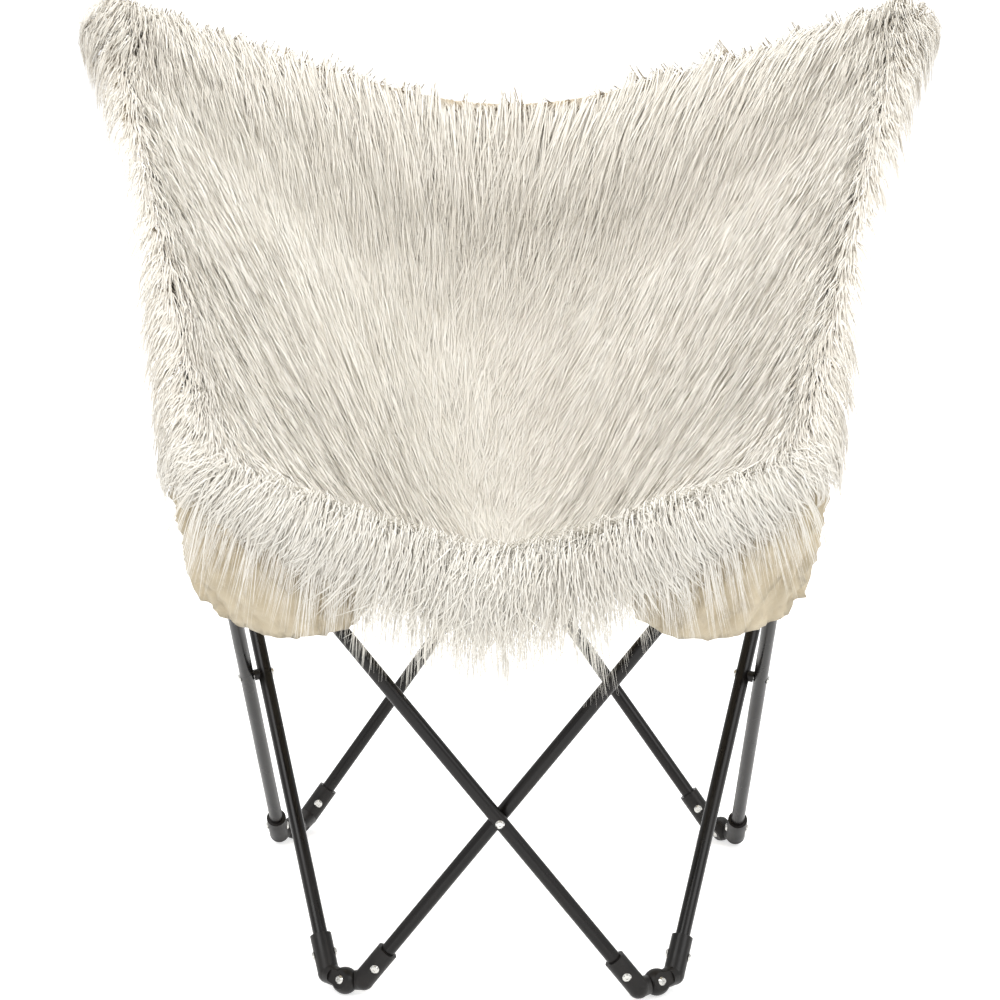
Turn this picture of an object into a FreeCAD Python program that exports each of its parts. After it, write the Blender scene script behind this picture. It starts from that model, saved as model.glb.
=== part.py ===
# Folding butterfly chair: eight straight tubes crossed in four X pairs, moulded foot elbows
# riveted in pairs to knuckles, and a fur cover hung on the tube tops by canvas pockets.
# Millimetres, +Z up, +X to the sitter's left, the front faces -Y, origin on the floor
# under the middle of the whole chair.
import FreeCAD, Part
import math
import os

Vector = FreeCAD.Vector
doc = FreeCAD.newDocument("butterfly_chair")

SIZES = {
    "tube_diameter": 14.0,
    "tube_wall": 1.2,
    "front_feet_y": -270.6,
    "front_foot_spread": 296.0,
    "rear_foot_spread": 464.0,
    "feet_depth": 467.0,
    "knuckle_radius": 13.0,
    "knuckle_thickness": 19.0,
    "knuckle_offset": 17.0,
    "knuckle_flat": 0.6,
    "lap_gap": 0.4,
    "neck_radius": 8.5,
    "socket_diameter": 20.6,
    "bend_swell": 0.15,
    "socket_start": 14.0,
    "socket_length": 34.0,
    "socket_floor": 4.0,
    "tube_fit": 0.05,
    "rivet_radius": 2.3,
    "rivet_fit": 0.05,
    "rivet_head_radius": 4.3,
    "rivet_crown_radius": 2.9,
    "rivet_head_height": 1.8,
    "rivet_dimple_radius": 1.5,
    "rivet_dimple_depth": 0.9,
    "cap_wall": 0.8,
    "cap_length": 16.0,
    "front_crossing_gap": 0.8,
    "side_spacer": 4.0,
    "back_crossing_gap": 9.0,
    "back_spacer": 3.0,
    "spacer_diameter": 11.0,
    "corner_spread_cross": 472.0,
    "corner_spread_side": 514.0,
    "corner_forward": 57.0,
    "corner_height": 489.0,
    "tip_spread_cross": 744.0,
    "tip_spread_side": 808.0,
    "tip_back": 594.0,
    "tip_height": 846.0,
    "cover_thickness": 22.0,
    "cover_side_overhang": 15.0,
    "cover_front_overhang": 23.0,
    "cover_corner_rise": 25.0,
    "cover_tip_overhang": 26.0,
    "cover_tip_reach": 23.0,
    "cover_tip_rise": 22.0,
    "cover_side_bow": 10.0,
    "cover_seat_clearance": 0.5,
    "binding_width": 9.0,
    "binding_thickness": 2.4,
    "binding_gap": 0.4,
    "pocket_thickness": 2.2,
    "pocket_clearance": 0.3,
    "pocket_step": 1.0,
    "pocket_spare": 0.1,
    "pocket_length": 118.0,
    "pocket_slack": 34.0,
    "pocket_belly": 0.62,
}

# Cross sections of the hanging cover from the front edge to the top of the back: share of the
# side edge, distance behind the front feet, height of the middle and radius of its round bottom.
COVER_ROWS = {
    "front": (0.0, -62.0, 402.0, 150.0),
    "fore_seat": (0.17, 60.0, 352.0, 140.0),
    "low_seat": (0.36, 190.0, 335.0, 140.0),
    "rear_seat": (0.55, 330.0, 380.0, 150.0),
    "low_back": (0.72, 440.0, 500.0, 190.0),
    "mid_back": (0.87, 525.0, 640.0, 270.0),
    "top_back": (1.0, 575.0, 768.0, 400.0),
}
for row, (share, behind, height, bend) in COVER_ROWS.items():
    SIZES[row + "_share"] = share
    SIZES[row + "_behind"] = behind
    SIZES[row + "_height"] = height
    SIZES[row + "_bend"] = bend

sheet = doc.addObject("Spreadsheet::Sheet", "sizes")
for line, (alias, value) in enumerate(SIZES.items(), start=1):
    sheet.set("A%d" % line, alias)
    sheet.set("B%d" % line, str(value))
    sheet.setAlias("B%d" % line, alias)
doc.recompute()

LEFT = -1
RIGHT = 1
ACROSS = Vector(1, 0, 0)
BACK = Vector(0, 1, 0)
UP = Vector(0, 0, 1)
nodes = []


def size(alias):
    return float(sheet.get(alias))


def unit(vector):
    return Vector(vector).normalize()


def square_to(vector, direction):
    """The part of a vector that stands square to a direction, one unit long."""
    return unit(vector - direction * vector.dot(direction))


def behind_front_feet(x, behind, z):
    return Vector(x, size("front_feet_y") + behind, z)


# Document helpers: primitives placed from a point along a direction, and their booleans

def bind(obj, prop, value):
    if isinstance(value, str):
        obj.setExpression(prop, value)
    else:
        setattr(obj, prop, value)


def along(start, direction):
    return FreeCAD.Placement(start, FreeCAD.Rotation(UP, direction))


def cylinder(name, radius, height, start, direction):
    obj = doc.addObject("Part::Cylinder", name)
    bind(obj, "Radius", radius)
    bind(obj, "Height", height)
    obj.Placement = along(start, direction)
    return obj


def cone(name, radius_start, radius_end, height, start, direction):
    obj = doc.addObject("Part::Cone", name)
    bind(obj, "Radius1", radius_start)
    bind(obj, "Radius2", radius_end)
    bind(obj, "Height", height)
    obj.Placement = along(start, direction)
    return obj


def sphere(name, radius, centre):
    obj = doc.addObject("Part::Sphere", name)
    bind(obj, "Radius", radius)
    obj.Placement = FreeCAD.Placement(centre, FreeCAD.Rotation())
    return obj


def fuse(name, parts):
    obj = doc.addObject("Part::MultiFuse", name)
    obj.Shapes = parts
    return obj


def cut(name, base, tools):
    obj = doc.addObject("Part::Cut", name)
    obj.Base = base
    obj.Tool = tools[0] if len(tools) == 1 else fuse(name + "_cuts", tools)
    return obj


def node(obj, label):
    obj.Label = label
    nodes.append(obj)
    return obj


def shape_node(label, shape):
    obj = doc.addObject("Part::Feature", label + "_shape")
    obj.Shape = shape
    return node(obj, label)


# The hanging cover: each cross section is a straight flank, a round bottom and a flank

def cover_edge(share):
    """Lower edge of the cover's right side, from the front corner to the wing tip."""
    front_x = size("corner_spread_side") / 2 + size("cover_side_overhang")
    front = behind_front_feet(
        front_x,
        -size("corner_forward") - size("cover_front_overhang"),
        size("corner_height") + size("cover_corner_rise"),
    )
    tip = behind_front_feet(
        size("tip_spread_side") / 2 + size("cover_tip_overhang"),
        size("tip_back") + size("cover_tip_reach"),
        size("tip_height") + size("cover_tip_rise"),
    )
    point = front + (tip - front) * share
    point.x -= size("cover_side_bow") * math.sin(math.pi * share)
    return point


class CoverSection:
    """A cross section of the cover, drawn in the plane of the X axis and its own rise."""

    def __init__(self, row):
        self.edge = cover_edge(size(row + "_share"))
        self.centre = behind_front_feet(0, size(row + "_behind"), size(row + "_height"))
        self.bend = size(row + "_bend")
        rise = self.edge - self.centre
        rise.x = 0
        self.rise = rise.Length
        self.up = unit(rise)
        from_middle = math.atan2(self.rise - self.bend, self.edge.x)
        reach = math.hypot(self.edge.x, self.rise - self.bend)
        self.angle = from_middle - math.acos(self.bend / reach)

    def point(self, across, up):
        return self.centre + ACROSS * across + self.up * up

    def outward(self):
        return math.cos(self.angle), math.sin(self.angle)

    def flank(self, depth, beyond=0.0):
        """Tangent point and edge point at a depth inside the underside, past the edge or not."""
        out_x, out_up = self.outward()
        tangent = ((self.bend - depth) * out_x, self.bend + (self.bend - depth) * out_up)
        edge_x = self.edge.x - depth * out_x - beyond * out_up
        edge_up = self.rise - depth * out_up + beyond * out_x
        return tangent, (edge_x, edge_up)

    def band(self, low, high):
        """Closed outline between two depths, from edge to edge."""
        outline = []
        corners = []
        for depth, way in ((low, 1), (high, -1)):
            tangent, edge = self.flank(depth)
            ends = [self.point(end * edge[0], edge[1]) for end in (-way, way)]
            tangents = [self.point(end * tangent[0], tangent[1]) for end in (-way, way)]
            outline.append(Part.makeLine(ends[0], tangents[0]))
            outline.append(Part.Arc(tangents[0], self.point(0, depth), tangents[1]).toShape())
            outline.append(Part.makeLine(tangents[1], ends[1]))
            corners += ends
        outline.insert(3, Part.makeLine(corners[1], corners[2]))
        outline.append(Part.makeLine(corners[3], corners[0]))
        return Part.Wire(outline)

    def edge_strip(self, side):
        """Small four-cornered outline of the binding just outside the cover's edge."""
        near = size("binding_gap")
        far = near + size("binding_thickness")
        wide = size("binding_width")
        corners = []
        for depth, beyond in ((0, near), (0, far), (wide, far), (wide, near)):
            edge = self.flank(depth, beyond)[1]
            corners.append(self.point(side * edge[0], edge[1]))
        return Part.makePolygon(corners + corners[:1])


sections = [CoverSection(row) for row in COVER_ROWS]
cover_wires = [section.band(0, size("cover_thickness")) for section in sections]
cover = shape_node("fur_cover", Part.makeLoft(cover_wires, True, False))


def edge_binding():
    strips = []
    for side in (LEFT, RIGHT):
        outlines = [section.edge_strip(side) for section in sections]
        strips.append(Part.makeLoft(outlines, True, False))
    front = sections[0]
    forward = unit(ACROSS.cross(front.up))
    if forward.y > 0:
        forward = forward * -1
    face = Part.Face(front.band(0, size("binding_width")))
    face.translate(forward * size("binding_gap"))
    strips.append(face.extrude(forward * size("binding_thickness")))
    return Part.makeCompound(strips)


shape_node("edge_binding", edge_binding())


# The tube lines: each tube leaves its knuckle pin at an offset, away from its foot mate

def foot_pin(spread, behind, side):
    height = size("knuckle_radius") - size("knuckle_flat")
    return behind_front_feet(side * size(spread) / 2, behind, height)


def top_target(spread, behind, height, side):
    return behind_front_feet(side * size(spread) / 2, behind, size(height))


def tube_line(pin, target, mate_target):
    to_target = unit(target - pin)
    away = square_to(mate_target - pin, to_target) * -1
    start = pin + away * size("knuckle_offset")
    return {"pin": pin, "start": start, "top": target}


def shift(tube, move):
    tube["start"] = tube["start"] + move
    tube["top"] = tube["top"] + move


def direction(tube):
    return unit(tube["top"] - tube["start"])


def crossing(first, second):
    """Nearest points of two tube axes and the unit vector square to both."""
    u1 = direction(first)
    u2 = direction(second)
    apart = first["start"] - second["start"]
    lean = u1.dot(u2)
    spread = 1 - lean * lean
    s1 = (lean * u2.dot(apart) - u1.dot(apart)) / spread
    s2 = (u2.dot(apart) - lean * u1.dot(apart)) / spread
    return first["start"] + u1 * s1, second["start"] + u2 * s2, unit(u1.cross(u2))


def pass_by(first, second, gap):
    """Moves two tubes apart, the first to the back, until they clear each other by a gap."""
    square = crossing(first, second)[2]
    if square.y < 0:
        square = square * -1
    half = (size("tube_diameter") + gap) / 2
    shift(first, square * half)
    shift(second, square * -half)


def lay_outside(inner, outer, side):
    """Moves the outer side tube out until the spacer fits between it and the inner tube."""
    inner_point, outer_point, square = crossing(inner, outer)
    if square.x * side < 0:
        square = square * -1
    have = (outer_point - inner_point).dot(square)
    need = size("tube_diameter") + size("side_spacer")
    shift(outer, square * (need - have))


tubes = {}
corner_behind = -size("corner_forward")
for side, word, other in ((LEFT, "left", RIGHT), (RIGHT, "right", LEFT)):
    front_pin = foot_pin("front_foot_spread", 0, side)
    rear_pin = foot_pin("rear_foot_spread", size("feet_depth"), side)
    corner = top_target("corner_spread_side", corner_behind, "corner_height", side)
    far_corner = top_target("corner_spread_cross", corner_behind, "corner_height", other)
    tip = top_target("tip_spread_side", size("tip_back"), "tip_height", side)
    far_tip = top_target("tip_spread_cross", size("tip_back"), "tip_height", other)
    tubes["front_cross_" + word] = tube_line(front_pin, far_corner, tip)
    tubes[word + "_side_front"] = tube_line(front_pin, tip, far_corner)
    tubes[word + "_side_rear"] = tube_line(rear_pin, corner, far_tip)
    tubes["back_cross_" + word] = tube_line(rear_pin, far_tip, corner)

pass_by(tubes["front_cross_left"], tubes["front_cross_right"], size("front_crossing_gap"))
pass_by(tubes["back_cross_left"], tubes["back_cross_right"], size("back_crossing_gap"))
for side, word in ((LEFT, "left"), (RIGHT, "right")):
    lay_outside(tubes[word + "_side_front"], tubes[word + "_side_rear"], side)


SEATING_STEPS = 60
SEATING_MISS = 0.02


def reach_cover(tube):
    """Slides the tube's top along its axis until its cap seats just under the cover."""
    axis = direction(tube)
    wanted = size("tube_diameter") / 2 + size("cap_wall") + size("cover_seat_clearance")
    for _ in range(SEATING_STEPS):
        capped = Part.makeLine(tube["top"], tube["top"] - axis * size("cap_length"))
        miss = capped.distToShape(cover.Shape)[0] - wanted
        if abs(miss) < SEATING_MISS:
            break
        tube["top"] = tube["top"] + axis * miss


for tube in tubes.values():
    reach_cover(tube)


# Foot knuckles: the two elbows of a foot lap on a pin square to both tubes

def knuckle_axis(cross_tube, side_tube):
    axis = unit(direction(cross_tube).cross(direction(side_tube)))
    if axis.y * (cross_tube["pin"].y - size("front_feet_y") - size("feet_depth") / 2) < 0:
        axis = axis * -1
    return axis


FEET = {
    "front_left": ("front_cross_left", "left_side_front"),
    "front_right": ("front_cross_right", "right_side_front"),
    "rear_left": ("back_cross_left", "left_side_rear"),
    "rear_right": ("back_cross_right", "right_side_rear"),
}
for cross_name, side_name in FEET.values():
    axis = knuckle_axis(tubes[cross_name], tubes[side_name])
    tubes[cross_name]["lap"] = axis * -1
    tubes[side_name]["lap"] = axis
    tubes[cross_name]["rivet_way"] = BACK
    tubes[side_name]["rivet_way"] = ACROSS

TUBE_RADIUS = "sizes.tube_diameter / 2"
SOCKET_RADIUS = "sizes.socket_diameter / 2"
RIVET_HOLE = "sizes.rivet_radius + sizes.rivet_fit"


def socket_base(tube):
    return tube["start"] + direction(tube) * size("socket_start")


def tube_foot(tube):
    return socket_base(tube) + direction(tube) * size("socket_floor")


def socket_rivet_centre(tube):
    return socket_base(tube) + direction(tube) * (size("socket_floor") + size("socket_length")) * 0.5


def through_hole(name, centre, way, half_length):
    return cylinder(name, RIVET_HOLE, 2 * half_length, centre - way * half_length, way)


def rivet(label, centre, way, grip):
    """Tubular rivet: a shank as long as its grip and a dimpled, coned head at each end."""
    solids = [cylinder(label + "_shank", "sizes.rivet_radius", grip, centre - way * grip / 2, way)]
    dimples = []
    for end, out in enumerate((way, way * -1)):
        seat = centre + out * grip / 2
        solids.append(
            cone(
                "%s_head_%d" % (label, end),
                "sizes.rivet_head_radius",
                "sizes.rivet_crown_radius",
                "sizes.rivet_head_height",
                seat,
                out,
            )
        )
        dimples.append(
            cylinder(
                "%s_dimple_%d" % (label, end),
                "sizes.rivet_dimple_radius",
                "sizes.rivet_dimple_depth * 2",
                seat + out * (size("rivet_head_height") - size("rivet_dimple_depth")),
                out,
            )
        )
    return node(cut(label, fuse(label + "_body", solids), dimples), label)


def frame_tube(name, tube, crossing_holes):
    axis = direction(tube)
    length = (tube["top"] - tube_foot(tube)).Length
    outer = cylinder(name + "_outside", TUBE_RADIUS, length, tube_foot(tube), axis)
    inside = "sizes.tube_diameter / 2 - sizes.tube_wall"
    tools = [cylinder(name + "_bore", inside, length, tube_foot(tube), axis)]
    holes = [(socket_rivet_centre(tube), square_to(tube["rivet_way"], axis))] + crossing_holes
    for number, (centre, way) in enumerate(holes):
        tools.append(through_hole("%s_hole_%d" % (name, number), centre, way, size("tube_diameter")))
    return node(cut(name + "_tube_cut", outer, tools), name + "_tube")


def top_cap(name, tube):
    axis = direction(tube)
    radius = "sizes.tube_diameter / 2 + sizes.cap_wall"
    base = tube["top"] - axis * size("cap_length")
    sleeve = cylinder(name + "_sleeve", radius, "sizes.cap_length", base, axis)
    dome = sphere(name + "_dome", radius, tube["top"])
    inside = "sizes.tube_diameter / 2 + sizes.tube_fit"
    bore_length = size("cap_length") * 2
    bore = cylinder(name + "_cap_bore", inside, bore_length, tube["top"] - axis * bore_length, axis)
    body = fuse(name + "_cap_body", [sleeve, dome])
    return node(cut(name + "_cap_cut", body, [bore]), name + "_cap")


def elbow(name, tube):
    """Moulded elbow: a socket for the tube, a rounded neck and one half of the lapped knuckle."""
    axis = direction(tube)
    lap = tube["lap"]
    pin = tube["pin"]
    base = socket_base(tube)
    neck_start = pin + lap * size("knuckle_thickness") / 4
    neck = base - neck_start
    solids = [
        sphere(name + "_knuckle", "sizes.knuckle_radius", pin),
        cone(name + "_neck", "sizes.neck_radius", SOCKET_RADIUS, neck.Length, neck_start, unit(neck)),
        sphere(name + "_bend", SOCKET_RADIUS + " + sizes.bend_swell", base),
        cylinder(name + "_socket", SOCKET_RADIUS, "sizes.socket_length + sizes.socket_floor", base, axis),
    ]
    wide = "sizes.knuckle_radius + 2 * sizes.lap_gap"
    deep = "sizes.knuckle_radius * 2"
    lap_face = pin + lap * size("lap_gap") / 2
    outer_face = pin + lap * size("knuckle_thickness") / 2
    bore_length = size("socket_length") + 2 * size("socket_floor")
    bore_radius = "sizes.tube_diameter / 2 + sizes.tube_fit"
    floor = doc.addObject("Part::Box", name + "_floor")
    for edge in ("Length", "Width", "Height"):
        floor.setExpression(edge, "sizes.knuckle_radius * 8")
    reach = size("knuckle_radius") * 4
    floor.Placement.Base = Vector(pin.x - reach, pin.y - reach, -2 * reach)
    rivet_way = square_to(tube["rivet_way"], axis)
    tools = [
        cylinder(name + "_lap", wide, deep, lap_face, lap * -1),
        cylinder(name + "_seat", wide, deep, outer_face, lap),
        through_hole(name + "_pin_hole", pin, lap, size("knuckle_radius") * 2),
        cylinder(name + "_bore", bore_radius, bore_length, tube_foot(tube), axis),
        through_hole(
            name + "_rivet_hole", socket_rivet_centre(tube), rivet_way, size("socket_diameter")
        ),
        floor,
    ]
    body = fuse(name + "_elbow_body", solids)
    return node(cut(name + "_elbow_cut", body, tools), name + "_elbow")


# Crossings: where the tubes of each X pass, with the rivet that joins them

CROSSINGS = {
    "front_cross": ("front_cross_left", "front_cross_right"),
    "left_side": ("left_side_front", "left_side_rear"),
    "right_side": ("right_side_front", "right_side_rear"),
    "back_cross": ("back_cross_left", "back_cross_right"),
}
SPACERS = {
    "left_side": "sizes.side_spacer",
    "right_side": "sizes.side_spacer",
    "back_cross": "sizes.back_spacer",
}


def saddle_spacer(label, tube, centre, way, thickness):
    """Round spacer with a saddle that sits on the first tube and a hole for the rivet."""
    axis = direction(tube)
    height = thickness + " + sizes.tube_diameter / 2 - sizes.rivet_fit"
    body = cylinder(label + "_disc", "sizes.spacer_diameter / 2", height, centre, way)
    long = size("tube_diameter") * 4
    saddle_radius = TUBE_RADIUS + " + sizes.tube_fit"
    saddle = cylinder(label + "_saddle", saddle_radius, long, centre - axis * long / 2, axis)
    hole = through_hole(label + "_hole", centre, way, long / 2)
    return node(cut(label + "_cut", body, [saddle, hole]), label)


crossing_holes = {name: [] for name in tubes}
for label, (first, second) in CROSSINGS.items():
    first_point, second_point, _ = crossing(tubes[first], tubes[second])
    apart = second_point - first_point
    way = unit(apart)
    crossing_holes[first].append((first_point, way))
    if label == "back_cross":
        grip = size("tube_diameter") + size("back_spacer") + size("rivet_fit")
        centre = first_point + way * size("back_spacer") / 2
    else:
        grip = apart.Length + size("tube_diameter") + size("rivet_fit") * 2
        centre = (first_point + second_point) * 0.5
        crossing_holes[second].append((second_point, way))
    rivet(label + "_rivet", centre, way, grip)
    if label in SPACERS:
        saddle_spacer(label + "_spacer", tubes[first], first_point, way, SPACERS[label])

for foot, (cross_name, side_name) in FEET.items():
    tube = tubes[side_name]
    rivet(foot + "_knuckle_rivet", tube["pin"], tube["lap"], size("knuckle_thickness"))

for name, tube in tubes.items():
    frame_tube(name, tube, crossing_holes[name])
    elbow(name, tube)
    top_cap(name, tube)
    rivet_way = square_to(tube["rivet_way"], direction(tube))
    socket_grip = size("socket_diameter") + size("rivet_fit") * 2
    rivet(name + "_socket_rivet", socket_rivet_centre(tube), rivet_way, socket_grip)


# Canvas pockets: a slack half cone round the outside of the two tube tops at each corner

def pocket_outline(cross_tube, side_tube, cross_out, side_out, down, clear):
    """Flat, curved strip outside both tubes, a distance down from their tops."""
    slack = size("pocket_slack") * down / size("pocket_length")
    cross_point = cross_tube["top"] - direction(cross_tube) * down
    side_point = side_tube["top"] - direction(side_tube) * down
    cross_reach = max(0, (side_point - cross_point).dot(cross_out)) + clear
    side_reach = max(0, (cross_point - side_point).dot(side_out)) + clear
    first = cross_point - side_out * slack + cross_out * cross_reach
    last = side_point - cross_out * slack + side_out * side_reach
    middle = (first + last) * 0.5
    corner = Vector(last.x, first.y, middle.z)
    square = unit((first - corner).cross(last - corner))
    ways = [cross_out, corner - middle, side_out]
    inside = [first, middle + (corner - middle) * size("pocket_belly"), last]
    outside = []
    for point, way in zip(inside, ways):
        outside.append(point + square_to(way, square) * size("pocket_thickness"))
    edges = [
        Part.Arc(outside[0], outside[1], outside[2]).toShape(),
        Part.makeLine(outside[2], inside[2]),
        Part.Arc(inside[2], inside[1], inside[0]).toShape(),
        Part.makeLine(inside[0], outside[0]),
    ]
    return Part.Wire(edges)


def pocket(cross_name, side_name, cross_out, side_out):
    """The pocket of one corner, let out until it clears both capped tubes, then eased back."""
    ends = []
    for name in (cross_name, side_name):
        tube = tubes[name]
        axis = direction(tube)
        radius = size("tube_diameter") / 2
        for wall, length in ((0, size("pocket_length") * 2), (size("cap_wall"), size("cap_length"))):
            start = tube["top"] - axis * length
            ends.append(Part.makeCylinder(radius + wall, length, start, axis))
    tops = Part.makeCompound(ends)
    let_out = size("tube_diameter") / 2 + size("cap_wall") + size("pocket_clearance")
    for _ in range(POCKET_STEPS):
        wires = []
        for share in POCKET_LEVELS:
            down = size("pocket_length") * share
            wires.append(
                pocket_outline(
                    tubes[cross_name], tubes[side_name], cross_out, side_out, down, let_out
                )
            )
        shape = Part.makeLoft(wires, True, False)
        spare = shape.distToShape(tops)[0] - size("pocket_clearance")
        if 0 <= spare <= size("pocket_spare"):
            return shape
        let_out += -spare * 0.5 if spare > 0 else size("pocket_step")
    raise RuntimeError("the pocket of %s does not clear its tubes" % side_name)


POCKET_STEPS = 60
POCKET_LEVELS = (0.07, 0.55, 1.0)
POCKETS = {
    "front_left_pocket": ("front_cross_right", "left_side_rear", BACK * -1, ACROSS * -1),
    "front_right_pocket": ("front_cross_left", "right_side_rear", BACK * -1, ACROSS),
    "left_wing_pocket": ("back_cross_right", "left_side_front", BACK, ACROSS * -1),
    "right_wing_pocket": ("back_cross_left", "right_side_front", BACK, ACROSS),
}
for label, (cross_name, side_name, cross_out, side_out) in POCKETS.items():
    shape_node(label, pocket(cross_name, side_name, cross_out, side_out))

doc.recompute()
for obj in doc.Objects:
    if "Invalid" in obj.State or "Error" in obj.State:
        raise RuntimeError("%s failed: %s" % (obj.Label, obj.State))
os.makedirs("parts", exist_ok=True)
whole = FreeCAD.BoundBox()
for obj in nodes:
    if obj.Shape.isNull() or not obj.Shape.isValid() or not obj.Shape.Solids:
        raise RuntimeError(obj.Label + " has no valid solid")
    whole.add(obj.Shape.BoundBox)
    obj.Shape.exportStep("parts/%s.step" % obj.Label)
low = [round(value, 2) for value in (whole.XMin, whole.YMin, whole.ZMin)]
high = [round(value, 2) for value in (whole.XMax, whole.YMax, whole.ZMax)]
print("nodes", len(nodes), "box", low, high)
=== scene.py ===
# %% [markdown]
# # A folding butterfly chair in long fur
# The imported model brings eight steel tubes, their foot elbows, caps and rivets, all in metres.
# This script keeps those pieces, gives them finishes, and makes the soft goods anew: the fur
# cover, its black edge binding and the four canvas pockets that hang it on the frame.

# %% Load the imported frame
import math

import bmesh
import bpy
import numpy as np
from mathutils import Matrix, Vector, noise


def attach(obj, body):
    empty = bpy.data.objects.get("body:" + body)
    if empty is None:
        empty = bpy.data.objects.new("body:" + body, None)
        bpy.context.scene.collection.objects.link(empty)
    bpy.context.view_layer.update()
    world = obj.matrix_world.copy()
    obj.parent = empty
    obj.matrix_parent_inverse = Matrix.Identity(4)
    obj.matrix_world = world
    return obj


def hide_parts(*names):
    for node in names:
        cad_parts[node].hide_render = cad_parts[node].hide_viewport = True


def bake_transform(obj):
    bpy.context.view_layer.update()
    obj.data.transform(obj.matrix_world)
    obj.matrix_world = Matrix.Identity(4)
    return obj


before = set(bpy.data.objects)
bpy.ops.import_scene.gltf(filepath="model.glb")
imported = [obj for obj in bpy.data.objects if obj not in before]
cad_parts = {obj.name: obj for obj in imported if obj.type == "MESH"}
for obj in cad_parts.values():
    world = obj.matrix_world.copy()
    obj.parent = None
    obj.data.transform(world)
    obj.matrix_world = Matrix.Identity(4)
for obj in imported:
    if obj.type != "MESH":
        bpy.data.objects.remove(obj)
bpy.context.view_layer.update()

# %% [markdown]
# ## Two small helpers for finishes
# Colours are written as the sRGB hex values read off a photograph, and the shader wants linear
# numbers, so one function turns them. Another adds a node with its settings and links, which keeps
# each material readable as a list of what the real surface has.

# %% Colour and node helpers
def linear(hex_colour):
    channels = [int(hex_colour[i:i + 2], 16) / 255 for i in (1, 3, 5)]
    return [c / 12.92 if c <= 0.04045 else ((c + 0.055) / 1.055) ** 2.4 for c in channels] + [1.0]


def add_node(tree, kind, settings=None, links=None):
    """Adds a node; settings name properties or input sockets, links map inputs to outputs."""
    node = tree.nodes.new(kind)
    for name, value in (settings or {}).items():
        if isinstance(name, str) and hasattr(node, name):
            setattr(node, name, value)
        else:
            node.inputs[name].default_value = value
    for name, output in (links or {}).items():
        tree.links.new(output, node.inputs[name])
    return node


def new_material(name):
    material = bpy.data.materials.new(name)
    material.use_nodes = True
    shader = material.node_tree.nodes["Principled BSDF"]
    return material, material.node_tree, shader


def two_colours(tree, factor, dark, light, low=0.3, high=0.7):
    ramp = add_node(tree, "ShaderNodeValToRGB", links={"Fac": factor})
    ramp.color_ramp.elements[0].position = low
    ramp.color_ramp.elements[0].color = linear(dark)
    ramp.color_ramp.elements[1].position = high
    ramp.color_ramp.elements[1].color = linear(light)
    return ramp


# %% [markdown]
# ## Black powder-coated steel
# The tubes are thin-walled steel under a satin black powder coat. Powder coat flows into a faint
# orange peel before it sets, so highlights run as long soft lines that shimmer a little. A fine
# bump at the grit of the powder gives that, over a base that is not quite neutral black.

# %% Tube coat
def powder_coat():
    material, tree, shader = new_material("satin_black_powder_coat")
    coords = add_node(tree, "ShaderNodeTexCoord")
    peel = add_node(
        tree, "ShaderNodeTexNoise", {"Scale": 1 / 0.0015, "Detail": 2.0},
        {"Vector": coords.outputs["Object"]},
    )
    wear = add_node(
        tree, "ShaderNodeTexNoise", {"Scale": 1 / 0.06, "Detail": 5.0},
        {"Vector": coords.outputs["Object"]},
    )
    tint = two_colours(tree, wear.outputs["Fac"], "#0C0A09", "#171412")
    rough = add_node(
        tree, "ShaderNodeMapRange",
        {"From Min": 0.3, "From Max": 0.7, "To Min": 0.2, "To Max": 0.34},
        {"Value": wear.outputs["Fac"]},
    )
    bump = add_node(
        tree, "ShaderNodeBump", {"Strength": 0.06, "Distance": 0.0004},
        {"Height": peel.outputs["Fac"]},
    )
    shader.inputs["Specular IOR Level"].default_value = 0.3
    tree.links.new(tint.outputs["Color"], shader.inputs["Base Color"])
    tree.links.new(rough.outputs["Result"], shader.inputs["Roughness"])
    tree.links.new(bump.outputs["Normal"], shader.inputs["Normal"])
    return material


# %% [markdown]
# ## Moulded plastic and plated rivets
# Elbows, spacers and caps are black nylon from a spark-eroded mould, whose fine grain scatters
# the light. The rivets are nickel-plated steel, turned and then set by a punch, so they are
# bright with faint marks. Both need no more than a noise at the size of that grain.

# %% Plastic and rivet finishes
def moulded_nylon():
    material, tree, shader = new_material("moulded_black_nylon")
    coords = add_node(tree, "ShaderNodeTexCoord")
    grain = add_node(
        tree, "ShaderNodeTexNoise", {"Scale": 1 / 0.0008, "Detail": 3.0},
        {"Vector": coords.outputs["Object"]},
    )
    scuff = add_node(
        tree, "ShaderNodeTexNoise", {"Scale": 1 / 0.02, "Detail": 6.0},
        {"Vector": coords.outputs["Object"]},
    )
    tint = two_colours(tree, scuff.outputs["Fac"], "#121110", "#201D1B")
    rough = add_node(
        tree, "ShaderNodeMapRange",
        {"From Min": 0.3, "From Max": 0.7, "To Min": 0.3, "To Max": 0.48},
        {"Value": scuff.outputs["Fac"]},
    )
    bump = add_node(
        tree, "ShaderNodeBump", {"Strength": 0.12, "Distance": 0.0003},
        {"Height": grain.outputs["Fac"]},
    )
    shader.inputs["Specular IOR Level"].default_value = 0.3
    tree.links.new(tint.outputs["Color"], shader.inputs["Base Color"])
    tree.links.new(rough.outputs["Result"], shader.inputs["Roughness"])
    tree.links.new(bump.outputs["Normal"], shader.inputs["Normal"])
    return material


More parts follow.
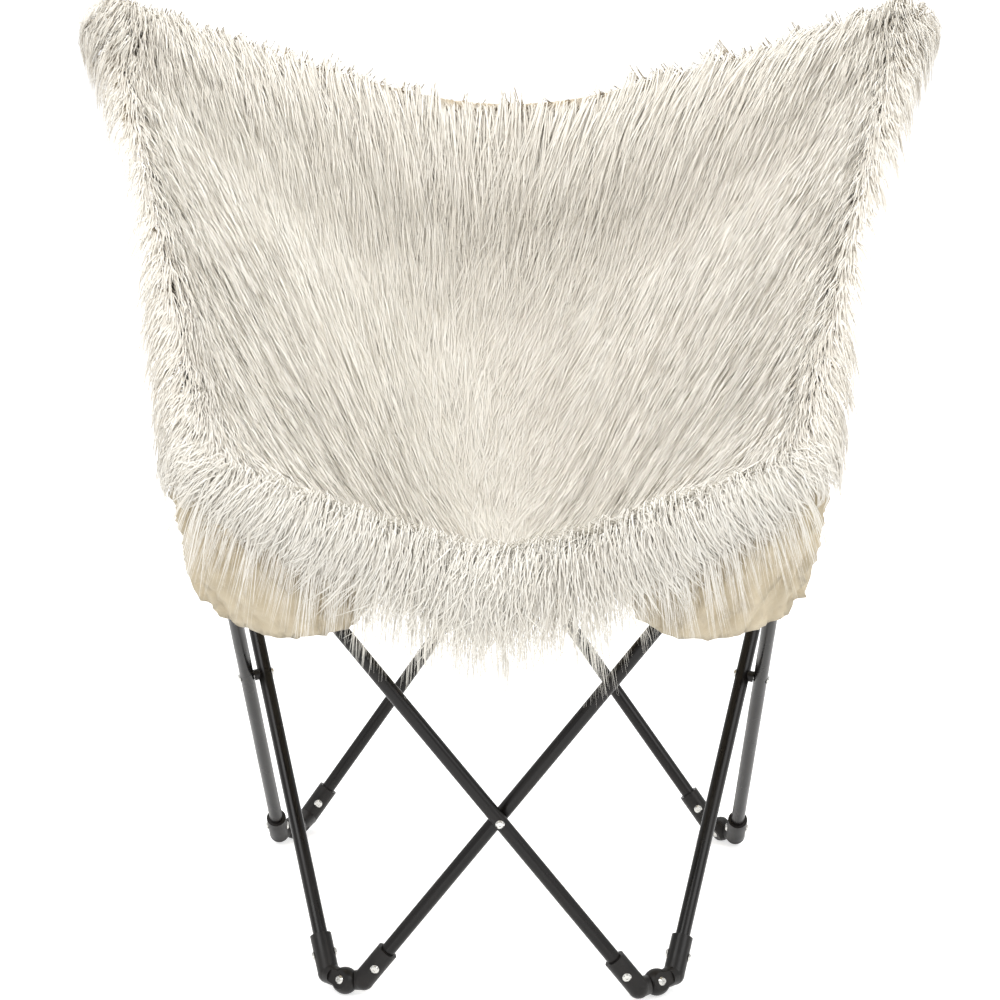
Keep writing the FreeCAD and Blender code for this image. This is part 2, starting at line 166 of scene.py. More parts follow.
def plated_steel():
    material, tree, shader = new_material("nickel_plated_steel")
    coords = add_node(tree, "ShaderNodeTexCoord")
    marks = add_node(
        tree, "ShaderNodeTexNoise", {"Scale": 1 / 0.0012, "Detail": 4.0},
        {"Vector": coords.outputs["Object"]},
    )
    tint = two_colours(tree, marks.outputs["Fac"], "#BDBCB8", "#E6E5E1")
    rough = add_node(
        tree, "ShaderNodeMapRange",
        {"From Min": 0.3, "From Max": 0.7, "To Min": 0.16, "To Max": 0.34},
        {"Value": marks.outputs["Fac"]},
    )
    shader.inputs["Metallic"].default_value = 1.0
    tree.links.new(tint.outputs["Color"], shader.inputs["Base Color"])
    tree.links.new(rough.outputs["Result"], shader.inputs["Roughness"])
    return material


HARD_FINISHES = {
    "_tube": powder_coat(),
    "_elbow": moulded_nylon(),
    "_rivet": plated_steel(),
}
HARD_FINISHES["_cap"] = HARD_FINISHES["_elbow"]
HARD_FINISHES["_spacer"] = HARD_FINISHES["_elbow"]
dressed = 0
for name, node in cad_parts.items():
    for ending, finish in HARD_FINISHES.items():
        if name.endswith(ending):
            node.data.materials.clear()
            node.data.materials.append(finish)
            dressed += 1
print("hard nodes with a finish", dressed)

# %% [markdown]
# ## Woven goods
# The pockets are undyed cotton canvas and the binding is black cotton tape. A weave is two
# sets of threads that pass over and under each other, so two wave patterns across each other
# make the bump. Each cloth piece carries a UV map in metres, so a thread keeps its real size on
# any fold. Threads of half a millimetre would not show, so they are drawn at 1.4 mm.

# %% Canvas and tape finishes
THREAD = 0.0014
BAND_AT_SCALE_ONE = 0.31831
SOIL_SIZE = 0.03
WEAVE_SHARE = 0.35


def woven(name, dark, light, thread, roughness, bump_depth):
    material, tree, shader = new_material(name)
    coords = add_node(tree, "ShaderNodeTexCoord")
    bands = []
    for direction in ("X", "Y"):
        bands.append(
            add_node(
                tree, "ShaderNodeTexWave",
                {"bands_direction": direction, "Scale": BAND_AT_SCALE_ONE / thread,
                 "Distortion": 0.6, "Detail": 1.0},
                {"Vector": coords.outputs["UV"]},
            )
        )
    over_under = add_node(
        tree, "ShaderNodeMath", {"operation": "MAXIMUM"},
        {0: bands[0].outputs["Fac"], 1: bands[1].outputs["Fac"]},
    )
    soil = add_node(
        tree, "ShaderNodeTexNoise", {"Scale": 1 / SOIL_SIZE, "Detail": 6.0},
        {"Vector": coords.outputs["UV"]},
    )
    mixed = add_node(
        tree, "ShaderNodeMath", {"operation": "MULTIPLY_ADD", 1: WEAVE_SHARE},
        {0: over_under.outputs["Value"], 2: soil.outputs["Fac"]},
    )
    tint = two_colours(tree, mixed.outputs["Value"], dark, light, 0.2, 1.25)
    bump = add_node(
        tree, "ShaderNodeBump", {"Strength": 0.5, "Distance": bump_depth},
        {"Height": over_under.outputs["Value"]},
    )
    shader.inputs["Roughness"].default_value = roughness
    shader.inputs["Sheen Weight"].default_value = 0.15
    shader.inputs["Specular IOR Level"].default_value = 0.2
    tree.links.new(tint.outputs["Color"], shader.inputs["Base Color"])
    tree.links.new(bump.outputs["Normal"], shader.inputs["Normal"])
    return material


canvas = woven("undyed_cotton_canvas", "#B9AA8C", "#DED2BA", THREAD, 0.9, 0.0005)
tape = woven("black_cotton_tape", "#100F0E", "#22201E", THREAD, 0.85, 0.0004)
print("woven finishes", canvas.name, tape.name)

# %% [markdown]
# ## The hanging shape of the cover
# The cover hangs from four points: two low front corners and two high wing tips. Across, it is
# a straight flank, a round bottom and a flank; from front to back these sections slide down to
# the seat and climb the back. The same seven sections shaped the solid, so the cloth and the
# fur lie where the solid is. Their in-between rows follow a smooth curve through them.

# %% Cover sections
FRONT_FEET_Y = -0.2706
CORNER = np.array([0.272, FRONT_FEET_Y - 0.080, 0.514])
WING_TIP = np.array([0.430, FRONT_FEET_Y + 0.617, 0.868])
SIDE_BOW = 0.010
COVER_ROWS = [
    (0.0, -0.062, 0.402, 0.150),
    (0.17, 0.060, 0.352, 0.140),
    (0.36, 0.190, 0.335, 0.140),
    (0.55, 0.330, 0.380, 0.150),
    (0.72, 0.440, 0.500, 0.190),
    (0.87, 0.525, 0.640, 0.270),
    (1.0, 0.575, 0.768, 0.400),
]
ACROSS = 60
ALONG = 150
CLOTH_DEPTH = 0.004
BACKING_THICKNESS = 0.002


def half_section(row, depth):
    """Evenly spaced points from the middle of the cover to its right edge."""
    share, behind, height, bend = row
    edge = CORNER + (WING_TIP - CORNER) * share
    edge[0] -= SIDE_BOW * math.sin(math.pi * share)
    centre = np.array([0.0, FRONT_FEET_Y + behind, height])
    up = edge - centre
    up[0] = 0.0
    rise = np.linalg.norm(up)
    up /= rise
    lean = math.atan2(rise - bend, edge[0]) - math.acos(bend / math.hypot(edge[0], rise - bend))
    round_bend = bend - depth
    end = np.array([edge[0] - depth * math.cos(lean), rise - depth * math.sin(lean)])
    tangent = np.array([round_bend * math.cos(lean), bend + round_bend * math.sin(lean)])
    bottom_length = round_bend * (lean + math.pi / 2)
    flank_length = np.linalg.norm(end - tangent)
    points = []
    for step in range(ACROSS + 1):
        run = (bottom_length + flank_length) * step / ACROSS
        if run <= bottom_length:
            turn = run / round_bend - math.pi / 2
            flat = np.array([round_bend * math.cos(turn), bend + round_bend * math.sin(turn)])
        else:
            flat = tangent + (end - tangent) * (run - bottom_length) / flank_length
        points.append(centre + up * flat[1] + np.array([flat[0], 0.0, 0.0]))
    return np.array(points)


def between(points, slopes, k, t, span=1.0):
    """The point at share t of the smooth curve from point k to the next one."""
    return (
        points[k] * (2 * t**3 - 3 * t**2 + 1)
        + slopes[k] * span * (t**3 - 2 * t**2 + t)
        + points[k + 1] * (3 * t**2 - 2 * t**3)
        + slopes[k + 1] * span * (t**3 - t**2)
    )


def cover_surface(depth):
    """Grid of points, rows from front to back and columns from left to right."""
    halves = np.array([half_section(row, depth) for row in COVER_ROWS])
    middle = halves[:, 0]
    knots = np.concatenate([[0], np.cumsum(np.linalg.norm(np.diff(middle, axis=0), axis=1))])
    slopes = np.gradient(halves, knots, axis=0)
    rows = []
    for run in np.linspace(0, knots[-1], ALONG + 1):
        k = min(np.searchsorted(knots, run, side="right") - 1, len(knots) - 2)
        span = knots[k + 1] - knots[k]
        rows.append(between(halves, slopes, k, (run - knots[k]) / span, span))
    right = np.array(rows)
    left = right[:, :0:-1] * np.array([-1, 1, 1])
    return np.concatenate([left, right], axis=1)


cloth_points = cover_surface(CLOTH_DEPTH)
print("cover surface", cloth_points.shape, cloth_points.min((0, 1)), cloth_points.max((0, 1)))

# %% [markdown]
# ## Cloth pieces
# When the frame closes, its wing tips come forward and its front corners stand up, so the cover
# hangs in two leaves from the tube tops. Here each cloth piece has its placement baked into its
# mesh, and a sheet is built over a grid of points.


def folds_with(piece):
    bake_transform(piece)


def cloth_from_grid(name, points, material, thickness):
    """A sheet over a grid of points, with a UV map in metres."""
    rows, columns = points.shape[:2]
    mesh_builder = bmesh.new()
    bmesh.ops.create_grid(mesh_builder, x_segments=columns - 1, y_segments=rows - 1, size=1.0)
    steps_across = np.diff(points, axis=1, prepend=points[:, :1])
    steps_along = np.diff(points, axis=0, prepend=points[:1])
    run_across = np.cumsum(np.linalg.norm(steps_across, axis=2), 1)
    run_along = np.cumsum(np.linalg.norm(steps_along, axis=2), 0)
    uv = mesh_builder.loops.layers.uv.new("metres")
    places = {}
    for vert in mesh_builder.verts:
        column = round((vert.co.x + 1) / 2 * (columns - 1))
        row = round((vert.co.y + 1) / 2 * (rows - 1))
        places[vert] = (row, column)
    for face in mesh_builder.faces:
        face.smooth = True
        for loop in face.loops:
            row, column = places[loop.vert]
            loop[uv].uv = (run_across[row, column], run_along[row, column])
    for vert, (row, column) in places.items():
        vert.co = points[row, column]
    mesh = bpy.data.meshes.new(name)
    mesh_builder.to_mesh(mesh)
    area = sum(face.calc_area() for face in mesh_builder.faces)
    mesh_builder.free()
    mesh.materials.append(material)
    piece = bpy.data.objects.new(name, mesh)
    bpy.context.scene.collection.objects.link(piece)
    wall = piece.modifiers.new("cloth_thickness", "SOLIDIFY")
    wall.thickness = thickness
    wall.offset = 0.0
    return piece, area


# %% [markdown]
# ## The backing cloth
# Under the pile is the woven backing that holds it. It is seen from behind and below as plain
# pale cloth. It is made in two halves with the seam down the middle.

# %% Backing
backing = {}
backing_area = {}
for side, part_points in (
    ("left", cloth_points[:, :ACROSS + 1]),
    ("right", cloth_points[:, ACROSS:]),
):
    piece, area = cloth_from_grid(
        "cover_backing_" + side, part_points, canvas, BACKING_THICKNESS
    )
    backing[side] = piece
    backing_area[side] = area
    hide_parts("fur_cover")
print("backing areas", backing_area)

# %% [markdown]
# ## Fur finish
# Acrylic pile is ivory; its strands are painted warmer and darker at the root, as painted shade
# where light does not reach. Each strand keeps its own random tone, and those of the front roll
# and the wisps are painted lighter, as painted light; this is stored in its UV map with the
# distance from its root.

# %% Fur finish
def acrylic_pile():
    material, tree, shader = new_material("ivory_acrylic_pile")
    coords = add_node(tree, "ShaderNodeTexCoord")
    parts = add_node(tree, "ShaderNodeSeparateXYZ", links={"Vector": coords.outputs["UV"]})
    # This ramp colours each strand from its own tone plus the painted light on the front roll and
    # the wisps.
    shade = two_colours(tree, parts.outputs["X"], "#E0D9CC", "#F2EFE7", 0.0, 1.0)
    # Painted shade: each strand darkens and warms towards its root, where light does not reach
    # between the strands.
    root = two_colours(tree, parts.outputs["Y"], "#DCCFB8", "#FFFFFF", 0.0, 0.35)
    tint = add_node(
        tree, "ShaderNodeMix", {"data_type": "RGBA", "blend_type": "MULTIPLY"},
    )
    tint.inputs[0].default_value = 1.0
    tree.links.new(shade.outputs["Color"], tint.inputs[6])
    tree.links.new(root.outputs["Color"], tint.inputs[7])
    shader.inputs["Roughness"].default_value = 0.55
    shader.inputs["Specular IOR Level"].default_value = 0.25
    shader.inputs["Sheen Weight"].default_value = 0.25
    tree.links.new(tint.outputs[2], shader.inputs["Base Color"])
    return material


pile = acrylic_pile()
print("fur finish", pile.name)

# %% [markdown]
# ## The fur's own surface
# Hair does not stop where the cloth does: it runs on over each edge and hangs down. So the grid
# is continued past all four edges, rolled over a small radius, and strands may comb onto it.

# %% Surface rolled over the edges
ROLL_RADIUS = 0.020
ROLL_TURN = math.radians(105)
OVERHANG = 0.09
OVERHANG_STEPS = 18


def rolled_edge(edge, before, upward):
    """Points past an edge that turn down over a small radius and then hang straight."""
    outward = edge - before
    outward /= np.linalg.norm(outward, axis=-1, keepdims=True)
    added = []
    for step in range(1, OVERHANG_STEPS + 1):
        run = OVERHANG * step / OVERHANG_STEPS
        turn = min(run / ROLL_RADIUS, ROLL_TURN)
        rest = run - turn * ROLL_RADIUS
        out = ROLL_RADIUS * math.sin(turn) + rest * math.cos(turn)
        down = ROLL_RADIUS * (1 - math.cos(turn)) + rest * math.sin(turn)
        added.append(edge + outward * out - upward * down)
    return added


def grid_normals(points):
    across = np.gradient(points, axis=1)
    along = np.gradient(points, axis=0)
    normals = np.cross(across, along)
    return normals / np.linalg.norm(normals, axis=2, keepdims=True)


def with_overhang(points):
    normals = grid_normals(points)
    left = rolled_edge(points[:, 0], points[:, 1], normals[:, 0])
    right = rolled_edge(points[:, -1], points[:, -2], normals[:, -1])
    points = np.concatenate(
        [np.stack(left[::-1], 1), points, np.stack(right, 1)], axis=1
    )
    normals = grid_normals(points)
    front = rolled_edge(points[0], points[1], normals[0])
    back = rolled_edge(points[-1], points[-2], normals[-1])
    return np.concatenate([np.stack(front[::-1], 0), points, np.stack(back, 0)], axis=0)


fur_points = with_overhang(cover_surface(CLOTH_DEPTH + BACKING_THICKNESS / 2))
fur_normals = grid_normals(fur_points)
print("fur surface", fur_points.shape)

# %% [markdown]
# ## Reading the surface between its points
# Strands and seams start anywhere, not only at the points of the grid, so places between four
# points are weighed from all four, as an image is read between its pixels.

# %% Between grid points
def on_grid(values, row, column):
    """Values of a grid between its points."""
    rows, columns = values.shape[:2]
    row = np.clip(row, 0, rows - 1.001)
    column = np.clip(column, 0, columns - 1.001)
    r, c = row.astype(int), column.astype(int)
    fr, fc = (row - r)[..., None], (column - c)[..., None]
    return (
        values[r, c] * (1 - fr) * (1 - fc)
        + values[r + 1, c] * fr * (1 - fc)
        + values[r, c + 1] * (1 - fr) * fc
        + values[r + 1, c + 1] * fr * fc
    )


# %% [markdown]
# ## Where the strands root
# Each strand is a narrow tapered blade of three links that lies along the surface, lifts off it
# near the root and is drawn towards the tip of its lock. A particle system could grow hair, but
# its strands would not be meshes, so the blades are laid by arrays.
# Roots are spread evenly: a larger cell of the grid gets more of them.

# %% Roots
STRANDS = 230000
PAST_FRONT = 2
PAST_TOP = 7
PAST_SIDE = 3
random = np.random.default_rng(11)
row_size = np.linalg.norm(np.gradient(fur_points, axis=0), axis=2)
column_size = np.linalg.norm(np.gradient(fur_points, axis=1), axis=2)
first_row, last_row = OVERHANG_STEPS, OVERHANG_STEPS + ALONG
first_column, last_column = OVERHANG_STEPS, OVERHANG_STEPS + 2 * ACROSS
middle_column = OVERHANG_STEPS + ACROSS
grown_rows = slice(first_row - PAST_FRONT, last_row + PAST_TOP)
grown_columns = slice(first_column - PAST_SIDE, last_column + PAST_SIDE)
cell_area = (row_size * column_size)[grown_rows, grown_columns]
chance = (cell_area / cell_area.sum()).ravel()
cells = random.choice(chance.size, size=STRANDS, p=chance)
root_row = grown_rows.start + cells // cell_area.shape[1] + random.random(STRANDS)
root_column = grown_columns.start + cells % cell_area.shape[1] + random.random(STRANDS)
up_share = (root_row - first_row) / ALONG
side_share = (root_column - first_column) / ACROSS - 1
from_middle = np.abs(side_share)
print("roots", STRANDS, "on", round(float(cell_area.sum()), 3), "square metres")

# %% [markdown]
# ## Locks
# Long pile gathers into locks about a centimetre apart. The surface is cut into squares of that
# size, and each square has a lock tip somewhere in it. Two scattered numbers give its place, and
# later also how long and how high the lock is.

# %% Locks
LOCK_SPACING = 0.011
LOCK_SCATTER = 0.8
GRID_ROW = 0.0075
GRID_COLUMN = 0.0072


def scattered(values, spread=43758.5453):
    """A number from 0 to 1 for each value, without order to the eye, the same on each run."""
    return np.abs(np.sin(values) * spread) % 1


lock_r = np.round(root_row * GRID_ROW / LOCK_SPACING)
lock_c = np.round(root_column * GRID_COLUMN / LOCK_SPACING)
lock_hash = scattered(lock_r * 12.9898 + lock_c * 78.233)
lock_hash_b = scattered(lock_r * 39.346 + lock_c * 11.135, 24634.6345)
lock_row = (lock_r + (lock_hash - 0.5) * LOCK_SCATTER) * LOCK_SPACING / GRID_ROW
lock_column = (lock_c + (lock_hash_b - 0.5) * LOCK_SCATTER) * LOCK_SPACING / GRID_COLUMN
print("locks", len(np.unique(np.stack([lock_r, lock_c], 1), axis=0)))

# %% [markdown]
# ## Combing
# Hair lies the way gravity draws it along the cloth: down the back, in from the flanks and on
# over the front edge. Near the sides it is combed outwards over the binding, past the top it is
# combed forward, and each lock and each hair turns a little of its own accord.

# %% Comb
FORWARD_COMB = 0.35
TOP_SPREAD = 0.6
WAVE_SHARE = 0.16
WAVE_PITCH = 0.05
EDGE_COMB = 0.5
FRINGE_FAN = 0.6
FRINGE_LOOSENESS = 1.6
LOCK_TURN = 0.30
HAIR_TURN = 0.12


def ramp(values, start, end):
    """0 at the start, 1 at the end and a straight line between."""
    return np.clip((values - start) / (end - start), 0, 1)


def wave_noise(row, column, pitch, seed):
    """Smooth noise from a few crossed waves, the same on each run."""
    total = np.zeros_like(row)
    waves = np.random.default_rng(seed)
    for _ in range(6):
        angle, phase = waves.random(2) * 2 * math.pi
        own_pitch = pitch * (0.6 + 0.9 * waves.random())
        total += np.sin((row * math.cos(angle) + column * math.sin(angle)) * own_pitch + phase)
    return total / 3


def drop_along(axis, size):
    """How steeply the surface drops along its rows or columns, at each root."""
    slope = np.gradient(fur_points, axis=axis) / size[..., None]
    return -on_grid(slope, root_row, root_column)[:, 2]


past_top = ramp(up_share, 1.0, 1.0 + PAST_TOP / ALONG)
edge_pull = ramp(from_middle, 0.86, 1.0)
fringe = ramp(up_share, 0.1, 0.0)
down_rows = np.minimum(drop_along(0, row_size), 0.0) - FORWARD_COMB
comb_row = np.where(up_share > 1.0, -1.0, down_rows)
comb_side = drop_along(1, column_size) * (1 + TOP_SPREAD * past_top)
comb_side += WAVE_SHARE * wave_noise(root_row, root_column, WAVE_PITCH, 3)
comb_side += EDGE_COMB * edge_pull * np.sign(side_share) + FRINGE_FAN * fringe * side_share
turn = LOCK_TURN * (lock_hash - 0.5) + HAIR_TURN * random.standard_normal(STRANDS)
turn *= 1 + FRINGE_LOOSENESS * fringe
turned_row = comb_row * np.cos(turn) - comb_side * np.sin(turn)
turned_side = comb_row * np.sin(turn) + comb_side * np.cos(turn)
comb_size = np.hypot(turned_row, turned_side)
comb_row, comb_side = turned_row / comb_size, turned_side / comb_size
print("share combed forward", round(float((comb_row < 0).mean()), 3))

# %% [markdown]
# ## Length and lift
# On the seat and back the hair is longest. It is clipped at the sides and the front corners, and
# the front fringe is uneven. The pile stands higher along the top of the back and swells into a
# roll over the front edge.

# %% Length and lift
PILE_LENGTH = 0.072
PILE_HEIGHT = 0.014
ROLL_RISE = 0.042
SIDE_CLIP = 0.25
INNER_GAIN = 0.45
FRINGE_GAIN = 0.25
CORNER_CLIP = 0.6
FRINGE_UNEVEN = 0.6
RIDGE_GAIN = 1.9
ROLL_GAIN = 0.5
inner = (1 - edge_pull) * ramp(up_share, 0.12, 0.27)
front_hang = ramp(up_share, 0.06, 0.0)
corner_trim = ramp(from_middle, 0.25, 0.70)
length = PILE_LENGTH * (0.55 + 0.35 * lock_hash_b + 0.45 * random.random(STRANDS))
length *= (1 - SIDE_CLIP * edge_pull) * (1 + INNER_GAIN * inner)
length *= 1 + front_hang * (FRINGE_GAIN - CORNER_CLIP * corner_trim)
length *= 1 - FRINGE_UNEVEN * front_hang * random.random(STRANDS)
ridge = ramp(up_share, 0.80, 1.0) ** 2
front_roll = ramp(np.abs(up_share - 0.02), 0.12, 0.0) ** 1.5
height = PILE_HEIGHT * (0.55 + 0.5 * lock_hash + 0.35 * random.random(STRANDS))
height *= 1 + RIDGE_GAIN * ridge + ROLL_GAIN * front_roll
height += ROLL_RISE * front_roll * (1 - side_share**2)
print("hair length", length.min().round(4), "to", length.max().round(4), "metres")

# %% [markdown]
# ## Laying the strands
# A strand is walked from root to tip over the grid, a third of its length at a time. It leans
# more and more to its lock's tip, waves a little, rises quickly from the root and settles at the
# tip, and lies closer where it has passed an edge.

# %% Strands
LINKS = 3
GATHER = 0.65
INNER_GATHER = 0.1
GATHER_POWER = 1.3
HAIR_WAVE = 0.12
HAIR_WAVE_TURN = 6
HAIR_WAVE_OFFSET = 20
TIP_SETTLE = 0.25
EDGE_SETTLE = 0.65
EDGE_REACH = 8
row_step = on_grid(row_size[..., None], root_row, root_column)[..., 0]
column_step = on_grid(column_size[..., None], root_row, root_column)[..., 0]
hair_lines = []
hair_uprights = []
for link in range(LINKS + 1):
    t = link / LINKS
    gather = (GATHER - INNER_GATHER * inner) * t**GATHER_POWER
    row = root_row + comb_row * length * t / row_step + gather * (lock_row - root_row)
    column = root_column + comb_side * length * t / column_step
    column = column + gather * (lock_column - root_column)
    wave_angle = HAIR_WAVE_TURN * t + HAIR_WAVE_OFFSET * lock_hash_b
    column = column + HAIR_WAVE * t * np.sin(wave_angle)
    past_front = ramp(first_row - row, 0, EDGE_REACH)
    past_side = ramp(np.abs(column - middle_column), ACROSS, ACROSS + EDGE_REACH)
    lift = height * (1 - (1 - t) ** 2) * (1 - TIP_SETTLE * t * t)
    lift = lift * (1 - EDGE_SETTLE * np.maximum(past_front, past_side))
    upward = on_grid(fur_normals, row, column)
    hair_lines.append(on_grid(fur_points, row, column) + upward * lift[:, None])
    hair_uprights.append(upward)
centre_lines = np.stack(hair_lines, 1)
centre_normals = np.stack(hair_uprights, 1)
print("strands", centre_lines.shape)

# %% [markdown]
# ## Wisps over the front edge
# Below the fringe, long hairs hang loose over the pockets, where the eye sees them one by one.
# They are drawn apart from the pile: each leaves the cloth a little behind its front edge,
# passes over it and falls, drawn to the tip of its own small lock.

# %% Wisps
WISPS = 1500
WISP_LENGTH = 0.105
WISP_LOCK = 2.6
WISP_GATHER = 0.8
WISP_FINENESS = 0.6
WISP_ROWS = 4
WISP_FAN = 0.03
OFF_CLOTH = 0.006
LEAST_AHEAD = 0.006
AHEAD_RANGE = 0.012
TIP_AHEAD = 0.004
WISP_STRAY = 0.006
WISP_BOW = np.array([0.0, -0.006, 0.008])
wisp_draws = np.random.default_rng(23)
wisp_column = first_column + 2 * ACROSS * wisp_draws.random(WISPS)
wisp_row = first_row + WISP_ROWS * wisp_draws.random(WISPS)
wisp_side = (wisp_column - middle_column) / ACROSS
wisp_lock = np.round(wisp_column / WISP_LOCK)
wisp_hash = scattered(wisp_lock * 12.9898)
lock_middle = (wisp_lock + wisp_hash - 0.5) * WISP_LOCK
tip_column = wisp_column + WISP_GATHER * (lock_middle - wisp_column)
fall = WISP_LENGTH * (0.35 + 0.4 * wisp_hash + 0.4 * wisp_draws.random(WISPS))
ahead = LEAST_AHEAD + AHEAD_RANGE * wisp_draws.random(WISPS)
stray = WISP_STRAY * wisp_draws.standard_normal(WISPS)
edge_row = np.full(WISPS, first_row - 1.0)
level = np.zeros(WISPS)
wisp_up = on_grid(fur_normals, wisp_row, wisp_column)
leaves = on_grid(fur_points, wisp_row, wisp_column) + OFF_CLOTH * wisp_up
passes = on_grid(fur_points, edge_row, wisp_column)
passes = passes + np.stack([level, -ahead, level + OFF_CLOTH], 1)
ends = on_grid(fur_points, edge_row, tip_column)
ends = ends + np.stack([WISP_FAN * wisp_side + stray, -ahead - TIP_AHEAD, -fall], 1)
halfway = (passes + ends) / 2 + WISP_BOW
facing = np.tile(np.array([0.0, -1.0, 0.0]), (WISPS, 1))
wisp_lines = np.stack([leaves, passes, halfway, ends], 1)
wisp_normals = np.stack([wisp_up, wisp_up + facing, facing, facing], 1)
print("wisps", WISPS, "lowest", ends[:, 2].min())

# %% [markdown]
# ## Blades
# A strand so far is a line. Each becomes a narrow ribbon that lies flat on the pile, with a
# little roll of its own, and those past the clip line are left out, as a furrier would trim them.

# %% Blades
BLADES = STRANDS + WISPS
BLADE_WIDTH = 0.0013
BLADE_ROLL = 0.3
BLADE_TAPER = np.array([0.8, 1.0, 0.75, 0.1])
CLIP_LINE = np.array([0.465, 0.383])
NEARLY_ZERO = 1e-9


def of_length_one(vectors):
    return vectors / (np.linalg.norm(vectors, axis=2, keepdims=True) + NEARLY_ZERO)


centre_lines = np.concatenate([centre_lines, wisp_lines])
centre_normals = np.concatenate([centre_normals, wisp_normals])
up_share = np.concatenate([up_share, level])
side_share = np.concatenate([side_share, wisp_side])
lock_hash = np.concatenate([lock_hash, wisp_hash])
fineness = np.concatenate([np.ones(STRANDS), np.full(WISPS, WISP_FINENESS)])
within = (np.abs(centre_lines[..., :2]) < CLIP_LINE).all((1, 2))
along_hair = of_length_one(np.gradient(centre_lines, axis=1))
across_hair = of_length_one(np.cross(centre_normals, along_hair))
own_roll = BLADE_ROLL * random.standard_normal(BLADES)[:, None, None]
wide = across_hair * np.cos(own_roll) + np.cross(along_hair, across_hair) * np.sin(own_roll)
own_width = BLADE_WIDTH * fineness * (0.7 + 0.6 * random.random(BLADES))
half_width = own_width[:, None, None] / 2 * BLADE_TAPER[None, :, None]
blade_left = centre_lines - wide * half_width
blade_right = centre_lines + wide * half_width
# Painted light: strands of the front roll, and the wisps below it, are made lighter as lit
# strands; the rest of each strand's value is its own random and lock tone.
roll_painted_light = ramp(up_share, 0.12, 0.0)
blade_tone_and_painted_light = 0.5 * random.random(BLADES) + 0.3 * lock_hash + 0.35 * roll_painted_light
blade_tone_and_painted_light = np.clip(blade_tone_and_painted_light, 0, 1)
print("blades", within.sum(), "of", BLADES)

# %% [markdown]
# ## Fur pieces
# All the blades in one mesh would be too heavy, so they go into twelve, six a side from the front
# edge to the wings. The arrays are handed to each mesh whole, because adding hundreds of thousands
# of faces one at a time would take minutes. The UV map carries each strand's tone with its painted
# light, and its distance from the root.

# %% Fur pieces
UV_MARGIN = 0.02


def fur_piece(name, chosen):
    """One mesh of blades for the chosen strands."""
    count = int(chosen.sum())
    corners = np.stack([blade_left[chosen], blade_right[chosen]], axis=2).reshape(-1, 3)
    first = np.arange(count)[:, None] * (2 * (LINKS + 1)) + np.arange(LINKS)[None, :] * 2
    loops = np.stack([first, first + 1, first + 3, first + 2], axis=2).reshape(-1)
    mesh = bpy.data.meshes.new(name)
    mesh.vertices.add(len(corners))
    mesh.vertices.foreach_set("co", corners.astype(np.float32).ravel())
    mesh.loops.add(len(loops))
    mesh.loops.foreach_set("vertex_index", loops.astype(np.int32))
    mesh.polygons.add(count * LINKS)
    mesh.polygons.foreach_set("loop_start", np.arange(0, len(loops), 4, dtype=np.int32))
    mesh.update(calc_edges=True)
    mesh.polygons.foreach_set("use_smooth", np.ones(count * LINKS, dtype=bool))
    # The first UV value carries each strand's tone with its painted light.
    shade = np.repeat(blade_tone_and_painted_light[chosen], 2 * (LINKS + 1))
    from_root = np.tile(np.repeat(np.linspace(0, 1, LINKS + 1), 2), count)
    uv = UV_MARGIN + (1 - 2 * UV_MARGIN) * np.stack([shade, from_root], 1)[loops]
    mesh.uv_layers.new(name="shade_and_root").data.foreach_set("uv", uv.astype(np.float32).ravel())
    mesh.validate()
    mesh.materials.append(pile)
    piece = bpy.data.objects.new(name, mesh)
    bpy.context.scene.collection.objects.link(piece)
    return piece


ZONES = {
    "front": (-0.1, 0.16), "fore_seat": (0.16, 0.33), "seat": (0.33, 0.5),
    "low_back": (0.5, 0.67), "back": (0.67, 0.84), "wing": (0.84, 1.1),
}
fur = {"left": [], "right": []}
for side, way in (("left", -1), ("right", 1)):
    for zone, (low, high) in ZONES.items():
        chosen = (side_share * way >= 0) & (up_share >= low) & (up_share < high) & within
        fur[side].append(fur_piece("fur_%s_%s" % (side, zone), chosen))
print("fur pieces", sum(len(pieces) for pieces in fur.values()))

# %% [markdown]
# ## Edge binding
# A folded tape is sewn over the cover's raw edge, along both sides and the front. Most of it is
# under the hair. It is made as a narrow strip round the edge, a little wider than the cloth.

# %% Binding
TAPE_THICKNESS = 0.0008
TAPE_PROFILE = [
    (-0.008, -0.002), (0.0, -0.003), (0.0022, 0.0),
    (0.0022, 0.003), (0.0, 0.006), (-0.008, 0.005),
]


def binding_strip(name, edge, before, upward):
    """A tape folded over an edge: from under the cloth round its edge and onto the top."""
    outward = edge - before
    outward /= np.linalg.norm(outward, axis=1, keepdims=True)
    rows = [edge + outward * out + upward * up for out, up in TAPE_PROFILE]
    return cloth_from_grid(name, np.stack(rows, 0), tape, TAPE_THICKNESS)[0]


cloth_normals = grid_normals(cloth_points)
bindings = {}
for side, column, next_column in (("left", 0, 1), ("right", -1, -2)):
    strip = binding_strip(
        "edge_binding_side_" + side,
        cloth_points[:, column], cloth_points[:, next_column], cloth_normals[:, column],
    )
    half = slice(0, ACROSS + 1) if side == "left" else slice(ACROSS, None)
    hem = binding_strip(
        "edge_binding_front_" + side,
        cloth_points[0, half], cloth_points[1, half], cloth_normals[0, half],
    )
    bindings[side] = [strip, hem]
    for piece in bindings[side]:
        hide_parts("edge_binding")
print("binding strips", sum(len(strips) for strips in bindings.values()))

# %% [markdown]
# ## Canvas pockets
# Each corner of the cover has a slack canvas pocket that takes two tube tops. It is sewn on
# under the cover's edge, passes over the caps and hangs to a hem, with creases that run from
# the tubes. So its grid runs through three lines: the seam, the shoulder and the hem.

